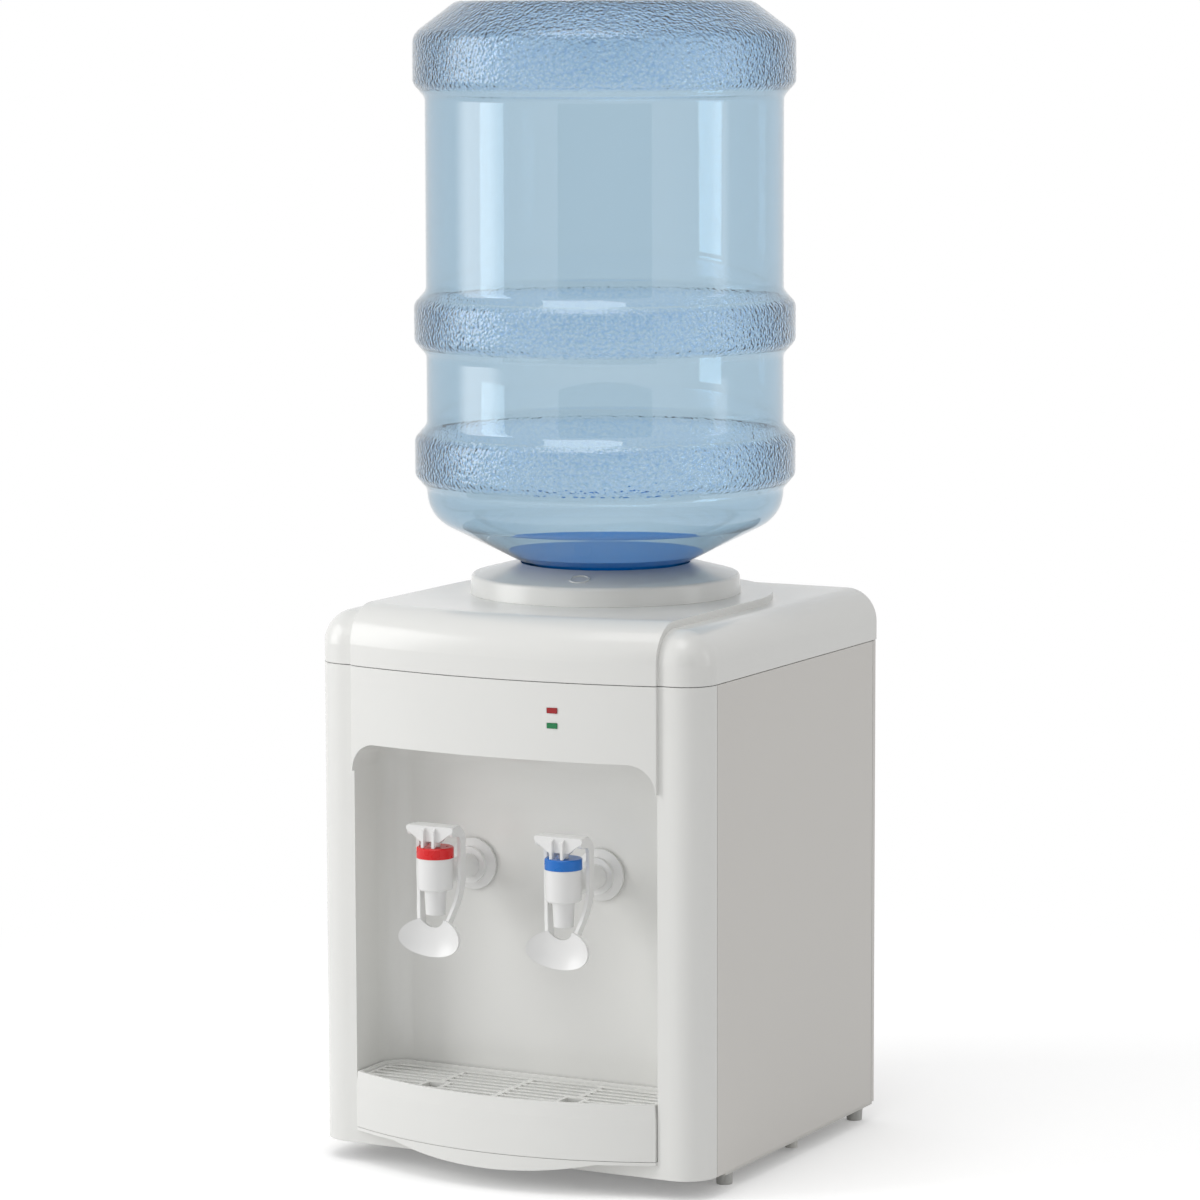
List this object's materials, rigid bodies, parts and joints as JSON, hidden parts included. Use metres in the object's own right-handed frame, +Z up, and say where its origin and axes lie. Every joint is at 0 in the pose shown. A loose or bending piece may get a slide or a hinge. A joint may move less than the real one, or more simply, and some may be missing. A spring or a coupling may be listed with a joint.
{
  "type": "countertop water dispenser",
  "caption": "Countertop hot and ambient water dispenser: white cabinet with a front recess, push-lever taps, drip tray and an inverted blue bottle on a collar.",
  "frame": {"origin": "on the floor under the middle of the overall box", "axes": "+Z up, front with the taps towards -Y, +X to the right seen from the front"},
  "size_m": [0.304, 0.326, 0.8138],
  "materials": {
    "cabinet_plastic": "glossy white moulded ABS",
    "side_sheet": "glossy white panel",
    "grille_plastic": "glossy white",
    "base_sheet": "white powder coat",
    "foot_rubber": "light grey rubber",
    "bottle_plastic": "clear light blue polycarbonate, bands pebbled",
    "reservoir_plastic": "natural polypropylene",
    "silicone": "translucent silicone",
    "stainless": "plain stainless sheet",
    "zinc_sheet": "zinc plated",
    "heater_sheath": "mica band in a steel sheath",
    "foam": "black elastomer foam",
    "bakelite": "dark phenolic",
    "tap_plastic": "glossy white",
    "red_plastic": "red",
    "blue_plastic": "blue",
    "red_lens": "red lens",
    "green_lens": "green lens",
    "board": "green laminate",
    "black_plastic": "black"
  },
  "bodies": {
    "cabinet": {"top_cover": "cabinet_plastic", "front_panel": "cabinet_plastic", "side_panel_left": "side_sheet", "side_panel_right": "side_sheet", "rear_panel": "side_sheet", "rear_screws": "zinc_sheet", "base_plate": "base_sheet", "feet": "foot_rubber", "bottle_collar": "cabinet_plastic", "reservoir_shelf": "zinc_sheet", "reservoir": "reservoir_plastic", "reservoir_seal": "silicone", "baffle": "reservoir_plastic", "hot_tank": "stainless", "heater_band": "heater_sheath", "jacket_front": "foam", "jacket_back": "foam", "control_thermostat": "bakelite", "cutout_thermostat": "bakelite", "tank_stand": "zinc_sheet", "cold_hose": "silicone", "hot_hose": "silicone", "feed_hose": "silicone", "vent_hose": "silicone", "drain_hose": "silicone", "drain_outlet": "tap_plastic", "tap_gaskets": "silicone", "tap_nuts": "tap_plastic", "heat_lamp": "red_lens", "ready_lamp": "green_lens", "lamp_board": "board", "switch_housing": "black_plastic", "cord_gland": "black_plastic", "terminal_block": "bakelite", "hot_tap_body": "tap_plastic", "hot_bonnet": "red_plastic", "hot_spring": "zinc_sheet", "cold_tap_body": "tap_plastic", "cold_bonnet": "blue_plastic", "cold_spring": "zinc_sheet"},
    "bottle": {"bottle": "bottle_plastic"},
    "drip_tray": {"drip_tray": "cabinet_plastic"},
    "drip_grille": {"drip_grille": "grille_plastic"},
    "switch_rocker": {"switch_rocker": "black_plastic"},
    "drain_cap": {"drain_cap": "tap_plastic"},
    "hot_plunger": {"hot_plunger": "tap_plastic", "hot_valve": "silicone", "hot_pin": "stainless"},
    "hot_lever": {"hot_lever": "tap_plastic"},
    "cold_plunger": {"cold_plunger": "tap_plastic", "cold_valve": "silicone", "cold_pin": "stainless"},
    "cold_lever": {"cold_lever": "tap_plastic"}
  },
  "joints": [
    {"name": "bottle_lift", "type": "slide", "parent": "cabinet", "child": "bottle", "axis": [0, 0, 1], "range_m": [0, 0.12]},
    {"name": "drip_tray_slide", "type": "slide", "parent": "cabinet", "child": "drip_tray", "axis": [0, -1, 0], "range_m": [0, 0.09]},
    {"name": "drip_grille_lift", "type": "slide", "parent": "drip_tray", "child": "drip_grille", "axis": [0, 0, 1], "range_m": [0, 0.05]},
    {"name": "switch_rocker_press", "type": "hinge", "parent": "cabinet", "child": "switch_rocker", "pos_m": [-0.09, 0.151, 0.29], "axis": [1, 0, 0], "range_deg": [-16, 0]},
    {"name": "drain_cap_pull", "type": "slide", "parent": "cabinet", "child": "drain_cap", "axis": [0, 1, 0], "range_m": [0, 0.02]},
    {"name": "hot_plunger_lift", "type": "slide", "parent": "cabinet", "child": "hot_plunger", "axis": [0, 0, 1], "range_m": [0, 0.00307], "stiffness_N_per_m": 300, "springref_m": -0.005, "deforming": ["hot_spring"]},
    {"name": "hot_lever_push", "type": "hinge", "parent": "hot_plunger", "child": "hot_lever", "pos_m": [-0.0503, -0.141, 0.2403], "axis": [1, 0, 0], "range_deg": [0, 16]},
    {"name": "cold_plunger_lift", "type": "slide", "parent": "cabinet", "child": "cold_plunger", "axis": [0, 0, 1], "range_m": [0, 0.00307], "stiffness_N_per_m": 300, "springref_m": -0.005, "deforming": ["cold_spring"]},
    {"name": "cold_lever_push", "type": "hinge", "parent": "cold_plunger", "child": "cold_lever", "pos_m": [0.0503, -0.141, 0.2403], "axis": [1, 0, 0], "range_deg": [0, 16]}
  ],
  "couplings": [
    {"joint": "hot_lever_push", "follows": "hot_plunger_lift", "rad_per_m": 90.909},
    {"joint": "cold_lever_push", "follows": "cold_plunger_lift", "rad_per_m": 90.909}
  ]
}
